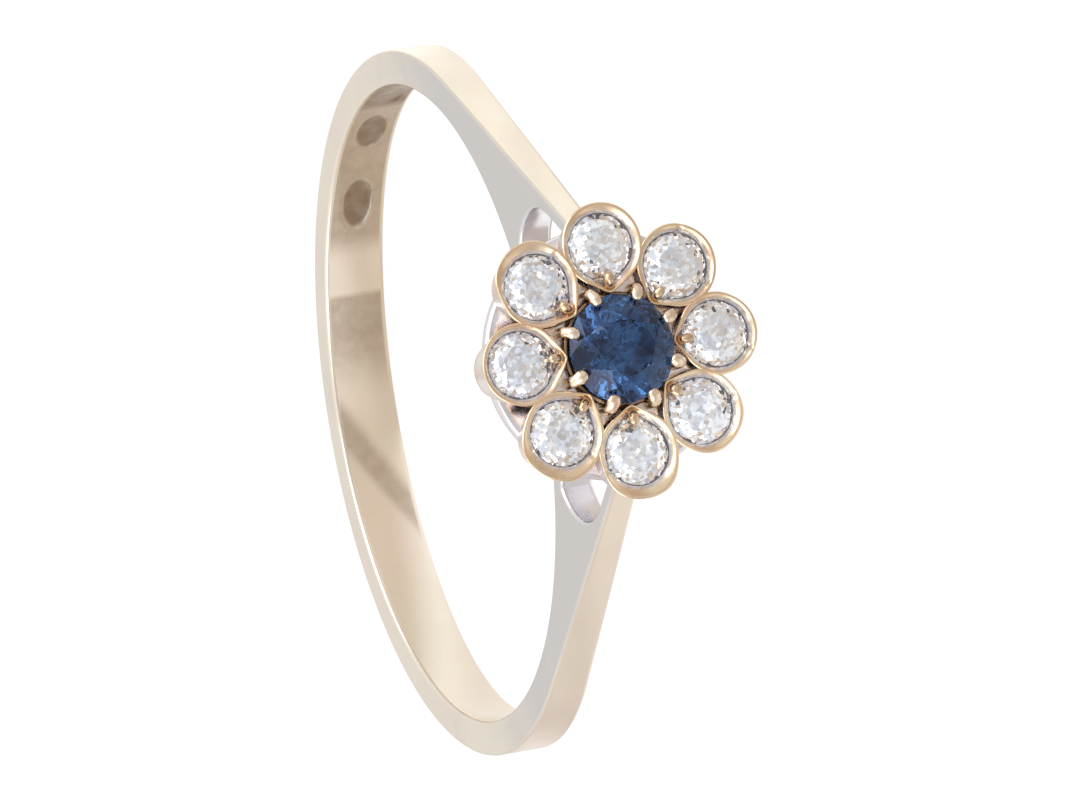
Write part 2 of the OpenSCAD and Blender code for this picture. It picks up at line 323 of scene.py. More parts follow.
# Looks of the golds: two tints of bare gold, worn and fresh wash, a dark tone for dull polish and
# for painted shade, and in mm the sizes of patches, tints and waves and the heights of drag lines
# and waves.
# Champagne gold rubbed bare by wear, and whiter where the wash is left: band and shoulders.
bandLook = {
    "warm": "#F1E8D6", "rose": "#EFE1D1", "wash": "#D5D0CC", "freshAndPaintedLight": "#F0EFF1",
    "dullAndPaintedDark": "#8F7860", "patch": 1.8, "uneven": 0.6, "tintSize": 2.6, "rough": (0.17, 0.24),
    "drag": 0.0008, "waveSize": 1.8, "wave": 0.014,
}
# The petals' rims, claws and grains: warm gold, burnished by the setter's tools.
petalLook = {
    "warm": "#F4DEBE", "rose": "#ECCBAA", "wash": "#E6E0E2", "freshAndPaintedLight": "#F2EFEE",
    "dullAndPaintedDark": "#8A6E5A", "patch": 0.7, "uneven": 0.5, "tintSize": 0.8, "rough": (0.20, 0.34),
    "drag": 0.001, "waveSize": 0.5, "wave": 0.012,
}
# The gallery and basket: the white wash is nearly whole there, cool with a lilac cast.
galleryLook = {
    "warm": "#E6D8C8", "rose": "#E0CEC2", "wash": "#E6E3E9", "freshAndPaintedLight": "#F0EFF4",
    "dullAndPaintedDark": "#8C8078", "patch": 0.8, "uneven": 0.5, "tintSize": 1.0, "rough": (0.12, 0.22),
    "drag": 0.001, "waveSize": 0.6, "wave": 0.010,
}
# Looks of the stones: colours of the zones, sizes of zones and cells in mm, the facets' lean.
# Corundum: deep royal blue with paler zones and a blue shine; its edge looks nearly black over
# the painted shade of the collar below it.
sapphireLook = {
    "deep": "#03102B", "pale": "#3A659B", "zone": 0.7, "cell": 0.40, "lean": 0.14, "ior": 1.77,
    "rough": (0.0, 0.03), "clear": 1.0, "gloss": 0.2, "shine": "#BAC3E2", "mirror": 0.0,
    "glow": 0.0,
}
# Diamond: colourless and bright, a small stone's facets too fine to tell apart; its glow is painted
# light.
diamondLook = {
    "deep": "#EDF2FC", "pale": "#FFFFFF", "zone": 0.4, "cell": 0.10, "lean": 0.64, "ior": 2.42,
    "rough": (0.0, 0.04), "clear": 1.0, "gloss": 0.5, "shine": "#FFFFFF", "mirror": 0.90,
    "glow": 0.06,
}
bandGold = goldMaterial("polished_champagne_gold", bandLook)
petalGold = goldMaterial("burnished_champagne_gold", petalLook)
washedGold = goldMaterial("rhodium_washed_white_gold", galleryLook)
sapphireBlue = stoneMaterial("blue_corundum", sapphireLook)
diamondWhite = stoneMaterial("white_diamond", diamondLook)
print("materials made")

# Band and shoulders: the side view's outline, carried across the width with rounded edges.
band = {
    "edge": 0.085, "edgeRows": 5, "rim": 0.04,  # rounded edges, and a strip on the side by them
    "rows": 26, "arcStep": 1.2, "lineStep": 0.22, "openingStep": 4,  # rows; steps in degrees and mm
    "punchFrom": 144, "punchTo": 91, "punchStep": 0.35,  # finer steps round the punches, in degrees
    "punchEdge": 0.22,  # how much of a punch is its sloping edge
    "inset": 0.001,  # keeps the smooth outside within the solid's facets
    "edgeWorn": 0.35,  # wear where the rounding begins
    "sideWorn": 0.85, "washedTo": 7, "wornOver": 9,  # side faces: most wear, and where it starts
    "openingFresh": 0.9, "punchWash": 0.8, "punchDull": 0.85,
}
# Darker stretches inside the band, painted dark reflections in its polish: places and soft ends
# in degrees, amount, and degrees of slant for each mm across the width.
paintedDarkReflections = [
    {"first": 84, "last": 110, "softFirst": 5, "softLast": 8, "amount": 0.95, "slant": 0},
    {"first": 90, "last": 147, "softFirst": 8, "softLast": 6, "amount": 0.50, "slant": 0},
    {"first": 153.5, "last": 176, "softFirst": 1.5, "softLast": 14, "amount": 0.52, "slant": 0},
    {"first": 180, "last": 194, "softFirst": 6, "softLast": 4, "amount": 0.46, "slant": 12},
]
# Blank oval punches inside the band, their places in degrees round the finger.
punches = [
    {"place": 99.5, "length": 1.6, "width": 0.88, "depth": 0.030},
    {"place": 114.5, "length": 1.8, "width": 0.90, "depth": 0.035},
    {"place": 134.5, "length": 1.9, "width": 0.92, "depth": 0.035},
]


def arc(middle, radius, first, last, stepDegrees=band["arcStep"]):
    # Points on a circle from one direction to another: middle + radius (cos a, sin a).
    count = max(3, int(abs(last - first) / math.radians(stepDegrees)) + 1)
    return polar(radius, np.linspace(first, last, count), 0)[:, :2] + middle


def line(first, last):
    # Points on a straight line: first + share (last - first).
    count = max(2, int(np.hypot(*(last - first)) / band["lineStep"]) + 1)
    return first + np.linspace(0, 1, count)[:, None] * (last - first)


def bandOutline():
    # Side view above the X axis as one path from the back of the finger hole to the back of the
    # outside: circle of the hole, inner arm's end, its outer circle, the opening's round end, the
    # outer arm and its end, the straight shoulder that touches the band's circle, and that circle.
    # The other half is its mirror image. Also says which points are walls of the pierced opening.
    end = np.array([galleryTop, galleryR])
    touch = math.atan2(end[1], end[0]) + math.acos(bandR / np.hypot(*end))
    out = np.array([math.cos(touch), math.sin(touch)])
    armR = ring["holeR"] + ring["innerArm"]
    armSide = bandR - ring["outerArm"]  # how far out the outer arm's inner side lies, along out
    middleY = galleryR + ring["openingReach"] - ring["openingR"]
    middleX = (armSide - ring["openingR"] - middleY * out[1]) / out[0]
    away = np.hypot(middleX, middleY)
    meets = (armR ** 2 - away ** 2 - ring["openingR"] ** 2) / (2 * away * ring["openingR"])
    meetAngle = math.acos(meets) + math.atan2(middleY, middleX)
    tipX = middleX + ring["openingR"] * math.cos(meetAngle)
    tipY = middleY + ring["openingR"] * math.sin(meetAngle)
    roundEnd = np.array([middleX, middleY]) + ring["openingR"] * out
    armEnd = np.array([galleryZ, (armSide - galleryZ * out[0]) / out[1]])
    punchFrom = math.radians(band["punchFrom"])
    punchTo = math.radians(band["punchTo"])
    hole = [arc((0, 0), ring["holeR"], math.pi, punchFrom)[:-1],
            arc((0, 0), ring["holeR"], punchFrom, punchTo, band["punchStep"]),
            arc((0, 0), ring["holeR"], punchTo, math.asin(wellR / ring["holeR"]))[1:]]
    opening = [arc((0, 0), armR, math.asin(wellR / armR), math.atan2(tipY, tipX)),
               arc((middleX, middleY), ring["openingR"], meetAngle, touch, band["openingStep"])[1:],
               line(roundEnd, armEnd)[1:]]
    outside = [line(end, bandR * out),
               arc((0, 0), bandR, touch, math.pi)[1:]]
    upper = np.concatenate(hole + opening + outside)
    pierced = np.zeros(len(upper), bool)
    start = sum(len(part) for part in hole)
    pierced[start:start + sum(len(part) for part in opening)] = True
    lower = upper[-2:0:-1] * np.array([1, -1])
    return np.concatenate([upper, lower]), np.concatenate([pierced, pierced[-2:0:-1]])


def bandPart():
    # The outline set in by e(1 - cos a) where the height is h - e(1 - sin a), so that each edge is
    # a quarter circle of radius e; h shrinks evenly from the back of the band to the flower. Each
    # punch goes outwards by its depth, eased over its sloping edge.
    outline, pierced = bandOutline()
    ahead = np.roll(outline, -1, axis=0) - outline
    ahead /= np.linalg.norm(ahead, axis=1, keepdims=True)
    left = np.stack([-ahead[:, 1], ahead[:, 0]], axis=1)
    before = np.roll(left, 1, axis=0)
    inward = (left + before) / (1 + np.sum(left * before, axis=1, keepdims=True))
    slope = (ring["bandW"] - ring["shoulderW"]) / 2 / (galleryTop + bandR)
    angle = np.linspace(math.pi / 2, 0, band["edgeRows"])
    inset = np.concatenate([[band["edge"] + band["rim"]], band["edge"] * (1 - np.cos(angle))])
    drop = np.concatenate([[0], band["edge"] * (1 - np.sin(angle))])
    flat = outline[None] + inset[:, None, None] * inward[None]
    h = ring["bandW"] / 2 - slope * (flat[..., 0] + bandR) - drop[:, None]
    top = np.concatenate([flat, h[..., None]], axis=-1)
    low = top[::-1] * np.array([1, 1, -1])
    across = np.linspace(1, -1, band["rows"] + 2)[1:-1, None]
    middle = np.concatenate([np.broadcast_to(flat[-1], (band["rows"],) + flat[-1].shape),
                             (across * h[-1][None])[..., None]], axis=-1)
    around = np.degrees(np.arctan2(middle[..., 1], middle[..., 0]))
    inside = np.hypot(middle[..., 0], middle[..., 1]) < ring["holeR"] + 0.01  # on the finger's side
    dent = np.zeros(inside.shape)
    for punch in punches:
        along = np.radians(around - punch["place"]) * ring["holeR"] / (punch["length"] / 2)
        off = np.hypot(along, middle[..., 2] / (punch["width"] / 2))
        dent = np.maximum(dent, punch["depth"] * ease((1 - off) / band["punchEdge"]))
    dent = dent * inside
    middle[..., :2] *= (1 + dent / ring["holeR"])[..., None]
    points = np.concatenate([top, middle, low])
    points[..., 1] = np.clip(points[..., 1], band["inset"] - bandR, bandR - band["inset"])
    # The wash is fresh in the pierced openings and left on the side faces near the flower. Inside,
    # old polish has dulled the punches, and painted dark reflections darken some stretches between
    # them.
    edgeWorn = np.linspace(band["edgeWorn"], 1, band["edgeRows"] - 1)
    edgeWorn = np.concatenate([[0, 0], edgeWorn])[:, None]
    sideWorn = band["sideWorn"] * ease((band["washedTo"] - outline[:, 0]) / band["wornOver"])[None]
    edge = edgeWorn * (1 - pierced) + (1 - edgeWorn) * sideWorn
    deepest = max(punch["depth"] for punch in punches)
    inner = (1.0 - pierced) * (1 - band["punchWash"] * dent / deepest)
    worn = np.concatenate([edge, inner, edge[::-1]])
    edgeFresh = edgeWorn * band["openingFresh"] * pierced
    innerFresh = np.broadcast_to(band["openingFresh"] * pierced, inside.shape)
    freshAndPaintedLight = np.concatenate([edgeFresh, innerFresh, edgeFresh[::-1]])
    dullAndPaintedDark = band["punchDull"] * dent / deepest
    # Each stretch is a painted dark reflection in the polish, darkening the metal's colour.
    for stretch in paintedDarkReflections:
        place = (around + stretch["slant"] * middle[..., 2]) % 360
        fadeIn = ease((place - stretch["first"]) / stretch["softFirst"])
        fadeOut = ease((stretch["last"] - place) / stretch["softLast"])
        dullAndPaintedDark = np.maximum(dullAndPaintedDark, stretch["amount"] * fadeIn * fadeOut * inside)
    dullAndPaintedDark = np.concatenate([np.zeros(edge.shape), dullAndPaintedDark, np.zeros(edge.shape)])
    return sheet(points, worn, freshAndPaintedLight=freshAndPaintedLight, dullAndPaintedDark=dullAndPaintedDark, caps=True)


makePiece("band", [bandPart()], bandGold)
print("band made")

# Petal settings. Each row is a petal, the eighth first and then the first to the seventh: how much
# its rim stands out on its far side, where that is widest in degrees round from the far side, how
# much its foot stands out there, how near to the stone's axis its rim is rubbed down, and its tool
# notches, each an angle in degrees round from the petal's point and a depth.
petalHand = [
    {"grow": 0.00, "side": 0, "foot": 0.0, "lip": 0.842, "notches": [(150, 0.05)]},
    {"grow": 0.01, "side": 20, "foot": 0.0, "lip": 0.834, "notches": [(-150, 0.06), (100, 0.05)]},
    {"grow": 0.06, "side": 0, "foot": 0.02, "lip": 0.827, "notches": [(-105, 0.07)]},
    {"grow": 0.12, "side": -20, "foot": 0.05, "lip": 0.829, "notches": [(95, 0.05)]},
    {"grow": 0.00, "side": 0, "foot": 0.07, "lip": 0.84, "notches": []},
    {"grow": 0.17, "side": 15, "foot": 0.06, "lip": 0.827, "notches": [(-90, 0.05)]},
    {"grow": 0.15, "side": 0, "foot": 0.05, "lip": 0.827, "notches": [(110, 0.05)]},
    {"grow": 0.05, "side": 0, "foot": 0.0, "lip": 0.834, "notches": [(-120, 0.06)]},
]
# What the petals have in common, most angles in degrees.
petal = {
    "round": 144, "wallRows": 7, "edgeRows": 5,  # points round an outline, rows of wall and edge
    "edge": 0.045, "footRound": 0.05,  # rounding of the rim and of the foot
    "sharper": 0.6, "sharperTo": 35, "sharperOver": 20,  # the rim is less rounded near the point
    "pointSoft": 0.035, "tip": 0.02,  # softness of the point in radians, and its reach
    "pointFrom": 0.3, "pointOver": 0.4,  # the wall turns pointed from this far below pointH
    "farTo": 85, "farOver": 60,  # how far round the far side goes, and over what it fades
    "waves": (0.006, 0.005), "wavesFrom": 80, "wavesOver": 40,  # three and five waves round the rim
    "notchWide": 4,
    "wallWorn": 0.25, "rimWorn": 0.65, "rimWornH": 0.35,  # wear of the wall, and more by the rim
    "footWorn": 0.4, "footWornH": 0.5, "footWornOver": 0.4,  # and by the foot
    "lipGap": 0.02,  # from the rubbed lip to the stone
    "pointRim": 1.15, "pocketPoint": 0.97,  # thicker rim and slimmer pocket at the point
    "pointFloor": 0.16, "floorOver": 0.05,  # the pointed end's floor below the stone's girdle
}


def teardrop(r, reach, turn):
    # Distance from a petal's axis to its outline in a direction turned from its point: a circle of
    # radius r, and the lines from its point at reach that touch it: r / cos(touch - turn).
    touch = np.arccos(np.clip(r / reach, -1, 1))
    soft = np.sqrt(turn ** 2 + petal["pointSoft"] ** 2)
    return r / np.cos(touch - np.minimum(soft, touch))


def petalPart(k):
    # Rows of outlines from the foot up the flaring wall, over the rim's rounded edge, down the
    # slope that is rubbed over the stone, back under that lip to the bearing, along the bearing
    # cone and down the hole through the setting. A row is its distance from the petal's axis, its
    # height and its wear. Each notch widens the lip by depth e^-(angle / width)^2.
    own = petalHand[k % petals]
    turn = np.linspace(-math.pi, math.pi, petal["round"], endpoint=False)
    reach = petalRing - pointR + petal["tip"]
    innerReach = reach - petal["pointRim"] * ring["rimT"]
    side = turn - math.pi - math.radians(own["side"])
    side = (side + math.pi) % (2 * math.pi) - math.pi
    far = ease((math.radians(petal["farTo"]) - np.abs(side)) / math.radians(petal["farOver"]))
    threePhase, fivePhase = hand.uniform(0, 2 * math.pi, 2)
    three = petal["waves"][0] * np.sin(3 * turn + threePhase)
    five = petal["waves"][1] * np.sin(5 * turn + fivePhase)
    fromPoint = np.abs(turn) - math.radians(petal["wavesFrom"])
    farSide = ease(fromPoint / math.radians(petal["wavesOver"]))
    grow = own["grow"] * far + (three + five - sum(petal["waves"])) * farSide
    nick = np.zeros_like(turn)
    for angle, depth in own["notches"]:
        off = (turn - math.radians(angle)) / math.radians(petal["notchWide"])
        nick += depth * np.exp(-off ** 2)
    rows = []
    wallTop = rimZ - petal["edge"]
    pointLow = rimZ - ring["pointH"] - petal["pointFrom"]
    for z in np.linspace(footZ + petal["footRound"], wallTop, petal["wallRows"]):
        r = petalR - ring["petalTaper"] * (rimZ - z) / ring["petalH"]
        pointed = ease((z - pointLow) / petal["pointOver"])
        swell = (z - footZ) / ring["petalH"]
        out = grow * swell + own["foot"] * far * (1 - swell)
        nearRim = ease((z - rimZ + petal["rimWornH"]) / petal["rimWornH"])
        nearFoot = ease((footZ + petal["footWornH"] - z) / petal["footWornOver"])
        worn = petal["wallWorn"] + petal["rimWorn"] * nearRim + petal["footWorn"] * nearFoot
        rows.append((teardrop(r, r + (reach - r) * pointed, turn) + out, z, worn))
    # Rim's rounded edge.
    outer = teardrop(petalR, reach, turn) + grow
    toPoint = math.radians(petal["sharperTo"]) - np.abs(turn)
    nearPoint = ease(toPoint / math.radians(petal["sharperOver"]))
    edge = petal["edge"] * (1 - petal["sharper"] * nearPoint)
    for a in np.linspace(0, math.pi / 2, petal["edgeRows"])[1:]:
        edgeZ = rimZ - edge * (1 - math.sin(a)) - 0.3 * nick
        rows.append((outer - edge * (1 - math.cos(a)), edgeZ, 1.0))
    # Lip over the stone, then the pocket under it.
    lip = teardrop(own["lip"], innerReach, turn) + nick
    lipZ = smallZ + girdleShare * smallR + (smallR - own["lip"]) * math.tan(crown) + petal["lipGap"]
    slope = outer - edge - lip
    wall = np.maximum(pocketR, teardrop(petal["pocketPoint"] * pocketR, innerReach, turn))
    bearing = smallZ - girdleShare * smallR - ring["gap"]
    point = ease((wall - pocketR) / petal["floorOver"])
    floor = bearing - (bearing - (smallZ - petal["pointFloor"])) * point
    coneR = pocketR - (bearing - floor) / math.tan(pavilion)
    coneZ = bearing - (pocketR - azureR) * math.tan(pavilion)
    footOuter = petalR - ring["petalTaper"] + own["foot"] * far
    rows += [
        (lip + 0.8 * slope, rimZ - 0.008 - 0.5 * nick, 1.0),  # nearly level
        (lip + 0.45 * slope, rimZ - 0.38 * (rimZ - lipZ) - 0.4 * nick, 0.8),  # rubbed down
        (lip + 0.015, lipZ + 0.045 * (1 - 2 * nick), 0.25),  # thin edge of the lip
        (lip, lipZ + 0.012, 0.4),
        (np.minimum(wall, lip + 0.03), lipZ, 0.6),  # under the lip
        (wall, smallZ + 0.04, 0.5),  # pocket
        (wall, floor + 0.02, 0.4),
        (wall - 0.01, floor, 0.4),
        (np.minimum(coneR, wall - 0.02), floor, 0.4),  # bearing cone
        (azureR, coneZ, 0.3),
        (azureR, footZ + 0.06, 0.2),  # hole
        (azureR + 0.02, footZ, 0.2),
        (footOuter - petal["footRound"], footZ, 0.2),  # underside
    ]
    radius = np.stack([np.broadcast_to(r, turn.shape) for r, _, _ in rows])
    height = np.stack([np.broadcast_to(z, turn.shape) for _, z, _ in rows])
    points = polar(radius, turn + math.pi, height) + np.array([petalRing, 0, 0])
    worn = np.array([w for _, _, w in rows])[:, None]
    return sheet(onHead(points, k * step), worn, closeRows=True)


for k in range(1, petals + 1):
    makePiece(f"petal_setting_{k}", [petalPart(k)], petalGold, sharp=50)
print("petal settings made")

# Gallery: a plate with a hole under each stone, its outer edge rounded. Its holes are a little
# wider than the petals' own, so that no two walls lie in one another.
gallery = {"edge": 0.12, "edgeRows": 9, "side": 14, "wallRows": 3, "hole": azureR + 0.012}


def galleryParts():
    # One eighth of the plate lies between two rays and two arcs. Points on that border and on the
    # hole's circle, seen from the hole's middle in the same direction, are joined straight across.
    # The outer edge is half an oval, r + e cos a by sin a of half the height.
    n = gallery["side"]
    share = np.linspace(0, 1, n, endpoint=False)
    outerR = galleryR - gallery["edge"]
    half = step / 2
    border = np.concatenate([
        polar(outerR, -half + step * share, 0),
        polar(outerR + (cupR - outerR) * share, half, 0),
        polar(cupR, half - step * share, 0),
        polar(cupR + (outerR - cupR) * share, -half, 0)])
    seen = np.arctan2(border[:, 1], border[:, 0] - petalRing)
    circle = polar(gallery["hole"], seen, 0) + np.array([petalRing, 0, 0])
    low, high = np.array([0, 0, galleryZ]), np.array([0, 0, galleryTop])
    mid = (border + circle) / 2
    rows = np.stack([border + low, mid + low, circle + low, circle + (low + high) / 2,
                     circle + high, mid + high, border + high])
    parts = [sheet(onHead(rows, k * step), worn=0.1, freshAndPaintedLight=0.6) for k in range(petals)]
    around = np.linspace(-half, 2 * math.pi - half, petals * n, endpoint=False)[None]
    a = np.linspace(-math.pi / 2, math.pi / 2, gallery["edgeRows"])[:, None]
    edgeZ = (galleryZ + galleryTop) / 2 + np.sin(a) * (galleryTop - galleryZ) / 2
    edgeR = outerR + gallery["edge"] * np.cos(a)
    parts.append(sheet(onHead(polar(edgeR, around, edgeZ)), worn=0.35))
    wallZ = np.linspace(galleryZ, galleryTop, gallery["wallRows"])[:, None]
    parts.append(sheet(onHead(polar(cupR, around, wallZ)), worn=0.1))
    return parts


makePiece("gallery", galleryParts(), washedGold)

# Basket: eight struts between arched windows, a ring at their foot and one under the gallery.
basket = {
    "rows": 34, "round": 24, "square": 0.4,  # rows and points of a strut, squareness of its section
    "corner": 0.05,  # cut off the corners of both rings
    "footLap": 0.12, "topLap": 0.05, "ringLap": 0.02,  # how far rings, struts and gallery overlap
    "windowFoot": 0.5, "windowWide": 0.95,  # half-width at foot and arch, as shares of windowR
    "archFrom": 0.08, "archTo": 1.45,  # stretch of the arch that has rows, in radians
}
windowLow = basketZ + ring["bandT"] / 2 + ring["windowMargin"]
windowTop = galleryZ - ring["windowR"] - ring["windowMargin"]


def basketWall(z):
    # Outer and inner radius of the basket's cone at a height.
    share = (z - basketZ) / (galleryZ - basketZ + ring["galleryT"] / 4)
    outer = ring["footR"] + (basketTopR - ring["footR"]) * share
    inner = wellR + (basketTopR - ring["basketT"] - wellR) * share
    return outer, inner


def ringPart(low, high, worn):
    # A stretch of the basket's wall between two heights, with corners cut by c.
    c = basket["corner"]
    (lowOut, lowIn), (highOut, highIn) = basketWall(low), basketWall(high)
    rows = [(lowIn + c, low), (lowOut - c, low), (lowOut, low + c), (highOut, high - c),
            (highOut - c, high), (highIn + c, high), (highIn, high - c), (lowIn, low + c)]
    return sheet(turnProfile(rows), worn, closeRows=True)


def strutPart(k):
    # Section at height z: a rounded rectangle as wide as the metal between two windows, whose
    # half-width is s(z) up to the arch's spring and sqrt(r^2 - (z - top)^2) above it.
    half = basket["rows"] // 2
    arch = np.sin(np.linspace(basket["archFrom"], basket["archTo"], half))
    z = np.concatenate([np.linspace(windowLow - basket["footLap"], windowTop, half),
                        windowTop + ring["windowR"] * arch])
    footWide = basket["windowFoot"] * ring["windowR"]
    archWide = basket["windowWide"] * ring["windowR"]
    straight = np.interp(z, [windowLow, windowTop], [footWide, archWide])
    curved = np.sqrt(np.maximum(ring["windowR"] ** 2 - (z - windowTop) ** 2, 0))
    window = np.where(z < windowTop, straight, curved)
    closing = footWide * ease(1 - (windowLow - z) / basket["footLap"])
    window = np.where(z < windowLow, closing, window)
    outer, inner = basketWall(z)
    a = fullTurn(basket["round"]) + math.pi / basket["round"]
    boxX = np.sign(np.cos(a)) * np.abs(np.cos(a)) ** basket["square"]
    boxY = np.sign(np.sin(a)) * np.abs(np.sin(a)) ** basket["square"]
    radius = (outer + inner)[:, None] / 2 + (outer - inner)[:, None] / 2 * boxX
    halfAngle = step / 2 - np.arcsin(window[:, None] / radius)
    points = polar(radius, (k + 0.5) * step + halfAngle * boxY, z[:, None])
    return sheet(onHead(points), worn=0.15, caps=True)


topRing = galleryZ - ring["windowMargin"] - basket["topLap"]
basketParts = [strutPart(k) for k in range(petals)]
basketParts.append(ringPart(basketZ, windowLow + basket["ringLap"], worn=0.3))
basketParts.append(ringPart(topRing, galleryZ + basket["topLap"], worn=0.1))
makePiece("basket", basketParts, washedGold, sharp=45)

# Cup round the centre stone's point: its wall, and its foot above the gallery's underside.
cup = {"wall": 0.22, "foot": 0.1}


def cupPart():
    # A profile turned about the flower's axis, its top just clear of the stone's underside.
    low = galleryZ + cup["foot"]
    top = centreZ - (centreR - cupR) * math.tan(pavilion) - 2 * ring["gap"]
    outer = cupR + cup["wall"]
    rows = [(cupR, low), (outer, low), (outer, top - 0.05), (outer - 0.04, top),
            (cupR + 0.05, top - 0.02), (cupR, top - 0.07)]
    return sheet(turnProfile(rows), worn=0.2, closeRows=True)


makePiece("centre_cup", [cupPart()], washedGold)
print("gallery, basket and cup made")

# Webs of metal between the petals, that the claws stand on, and a collar below the centre stone.
# The webs' fresh wash is partly painted light that lifts the shade between the petals, and the
# collar is darkened as painted shade under the stone.
web = {
    "near": 1.27, "far": 2.12,  # distances from the flower's axis
    "low": 0.52, "high": 0.36,  # depths below the rims
    "rows": 16, "round": 20,
    "narrow": 1.6, "lap": 0.05,  # how fast a web narrows, and how far it is let into the petals
    "square": 0.5, "droop": 0.12,  # squareness of its section, and how it droops at its near end
    # The collar's profile: radius and depth below the rims.
    "collar": [(1.21, 0.45), (1.43, 0.45), (1.43, 0.22), (1.39, 0.17), (1.30, 0.165), (1.22, 0.20)],
}


def webParts():
    # Section at distance r from the axis: a flat oval of half-width w(r) = w0 (1 - s)^1.6, where s
    # goes from 0 at the petals' points to 1 where their walls meet, let into the walls a little.
    aside = petalRing * math.sin(step / 2)
    meet = petalRing * math.cos(step / 2) - math.sqrt(petalR ** 2 - aside ** 2)
    r = np.linspace(web["near"], web["far"], web["rows"])[:, None]
    s = np.clip((r - pointR) / (meet - pointR), 0, 1)
    w = pointR * math.sin(step / 2) * (1 - s) ** web["narrow"]
    w = w * np.minimum(1, r / pointR) + web["lap"]
    a = fullTurn(web["round"])
    across = w * np.sign(np.cos(a)) * np.abs(np.cos(a)) ** web["square"]
    thick = (web["low"] - web["high"]) / 2
    droop = web["droop"] * ease((pointR - r) / web["droop"])
    up = rimZ - (web["low"] + web["high"]) / 2 + thick * np.sin(a) - droop
    points = np.stack(np.broadcast_arrays(r, across, up), axis=-1)
    turns = [(k + 0.5) * step for k in range(petals)]
    # Fresh wash on the webs: partly the metal's own, partly painted light in the shade between the
    # petals.
    parts = [sheet(onHead(points, turn), worn=0.3, freshAndPaintedLight=0.35, caps=True) for turn in turns]
    collar = turnProfile([(radius, rimZ - depth) for radius, depth in web["collar"]])
    # The collar's darkening is painted shade below the centre stone, which shows at the stone's edge.
    parts.append(sheet(collar, worn=0.6, dullAndPaintedDark=0.9, closeRows=True))
    return parts


makePiece("webs", webParts(), petalGold, sharp=60)

# Claws of the centre stone and grains of the small stones: round wires bent over on the stone.
# Each row of a path is a distance from the stone's axis, a height above the girdle and a radius.
# Each wire differs a little in width and in its place.
claw = {
    "path": [(1.525, -1.55, 0.125), (1.525, -0.5, 0.125), (1.525, 0.0, 0.122),
             (1.510, 0.08, 0.120), (1.460, 0.157, 0.120), (1.400, 0.192, 0.135),
             (1.335, 0.214, 0.142), (1.285, 0.227, 0.125)],
    "round": 20, "wide": (1.05, 1.35), "away": (0.012, 0.038), "turn": (-0.03, 0.03),
}
grain = {
    "path": [(0.995, -0.24, 0.085), (0.995, -0.05, 0.085), (0.995, 0.08, 0.090),
             (0.965, 0.165, 0.100), (0.905, 0.215, 0.115), (0.835, 0.238, 0.120),
             (0.775, 0.252, 0.108)],
    "round": 16, "wide": (0.95, 1.2), "aside": (-0.02, 0.02),
}
wire = {"between": 3, "tipRows": 8, "twoLumps": 0.06, "threeLumps": 0.04, "leastR": 1e-5}


def wirePart(path, sides, wide):
    # A lumpy circle carried along a smoothed path in the XZ plane: path + r (n cos a + b sin a),
    # where n is the path's normal in that plane and b is the Y axis, times wide. The tip closes as
    # sqrt(1 - t^2), and r has waves of two and three lumps round the wire.
    path = np.array(path)
    at = np.linspace(0, len(path) - 1, wire["between"] * len(path))
    x, z, radius = (np.interp(at, np.arange(len(path)), path[:, i]) for i in range(3))
    t = np.sin(np.linspace(0, math.pi / 2, wire["tipRows"]))[1:]
    ahead = (path[-1, :2] - path[-2, :2]) / np.linalg.norm(path[-1, :2] - path[-2, :2])
    x = np.concatenate([x, path[-1, 0] + ahead[0] * path[-1, 2] * t])
    z = np.concatenate([z, path[-1, 1] + ahead[1] * path[-1, 2] * t])
    radius = np.concatenate([radius, path[-1, 2] * np.sqrt(np.maximum(1 - t ** 2, 0))])
    radius = np.maximum(radius, wire["leastR"])
    alongX, alongZ = np.gradient(x), np.gradient(z)
    length = np.hypot(alongX, alongZ)
    a = fullTurn(sides)
    first, second = hand.uniform(0, 2 * math.pi, 2)
    lumps = 1 + wire["twoLumps"] * np.sin(2 * a + first)
    lumps = lumps + wire["threeLumps"] * np.sin(3 * a + second)
    px = x[:, None] - (alongZ / length * radius)[:, None] * np.cos(a) * lumps
    pz = z[:, None] + (alongX / length * radius)[:, None] * np.cos(a) * lumps
    return np.stack([px, wide * radius[:, None] * np.sin(a) * lumps, pz], axis=-1)


def clawParts():
    # A wire between each two petals, bent in over the centre stone.
    parts = []
    for k in range(petals):
        points = wirePart(claw["path"], claw["round"], hand.uniform(*claw["wide"]))
        away = hand.uniform(*claw["away"])
        points = points + np.array([away, 0, centreZ + girdleShare * centreR])
        turn = (k + 0.5) * step + hand.uniform(*claw["turn"])
        parts.append(sheet(onHead(points, turn), worn=0.8, freshAndPaintedLight=0.15, caps=True))
    return parts


def grainParts():
    # A wire at each petal's point, bent out over its stone.
    parts = []
    for k in range(petals):
        points = wirePart(grain["path"], grain["round"], hand.uniform(*grain["wide"]))
        points = points * np.array([-1, 1, 1])
        aside = hand.uniform(*grain["aside"])
        points = points + np.array([petalRing, aside, smallZ + girdleShare * smallR])
        parts.append(sheet(onHead(points, k * step), worn=1.0, dullAndPaintedDark=0.3, caps=True))
    return parts


makePiece("claws", clawParts(), petalGold, sharp=60)
makePiece("grains", grainParts(), petalGold, sharp=60)
print("claws and grains made")

# The cut stones are the solid model's own, with flat facets.
for name, node in frame["nodes"].items():
    if name != "ring_mount":
        node.data.materials.clear()
        node.data.materials.append(sapphireBlue if name == "centre_sapphire" else diamondWhite)
print("stones finished")

